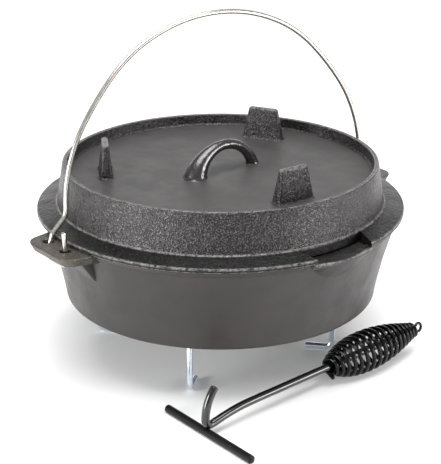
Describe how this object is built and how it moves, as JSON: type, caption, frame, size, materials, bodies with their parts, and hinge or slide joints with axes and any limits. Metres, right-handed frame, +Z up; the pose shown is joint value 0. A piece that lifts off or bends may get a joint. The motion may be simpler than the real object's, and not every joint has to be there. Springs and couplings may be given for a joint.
{
  "type": "cast iron dutch oven",
  "caption": "Shallow flared cast iron camp oven with a deep footed pan lid, a wire bail, a folding wire stand and a hooked lid lifter.",
  "frame": {"origin": "on the ground under the pot, on the pot's axis", "axes": "+Z up along the pot's axis; X through the pot's two ears; the pouring lip is towards -Y"},
  "size_m": [0.4256, 0.4192, 0.3564],
  "materials": {
    "pot_iron": "seasoned, fine sand-cast skin",
    "lid_iron": "seasoned, grainy sand-cast skin with worn edges",
    "bail_steel": "drawn wire, satin",
    "stand_zinc": "bright zinc plate",
    "lifter_black": "satin black",
    "crossbar_black": "matte black",
    "coil_black": "gloss black"
  },
  "bodies": {
    "stand": {"stand_lower_wire": "stand_zinc", "stand_rivet": "stand_zinc"},
    "stand_arm": {"stand_upper_wire": "stand_zinc"},
    "pot": {"pot": "pot_iron"},
    "lid": {"lid": "lid_iron"},
    "bail": {"bail": "bail_steel"},
    "lifter": {"lifter_rod": "lifter_black", "lifter_crossbar": "crossbar_black", "lifter_coil_grip": "coil_black"}
  },
  "joints": [
    {"name": "stand_fold", "type": "hinge", "parent": "stand", "child": "stand_arm", "pos_m": [-0.005, 0.0045, 0.05], "axis": [0, 0, 1], "range_deg": [-75, 75]},
    {"name": "pot_lift", "type": "slide", "parent": "stand", "child": "pot", "axis": [0, 0, 1], "range_m": [0, 0.15]},
    {"name": "lid_turn", "type": "hinge", "parent": "pot", "child": "lid", "pos_m": [0, 0, 0.155], "axis": [0, 0, 1], "continuous": true},
    {"name": "bail_rock", "type": "hinge", "parent": "pot", "child": "bail", "pos_m": [0, 0, 0.1505], "axis": [1, 0, 0], "range_deg": [-4, 18]},
    {"name": "lifter_slide", "type": "slide", "parent": "stand", "child": "lifter", "axis": [0, -1, 0], "range_m": [0, 0.2]}
  ]
}
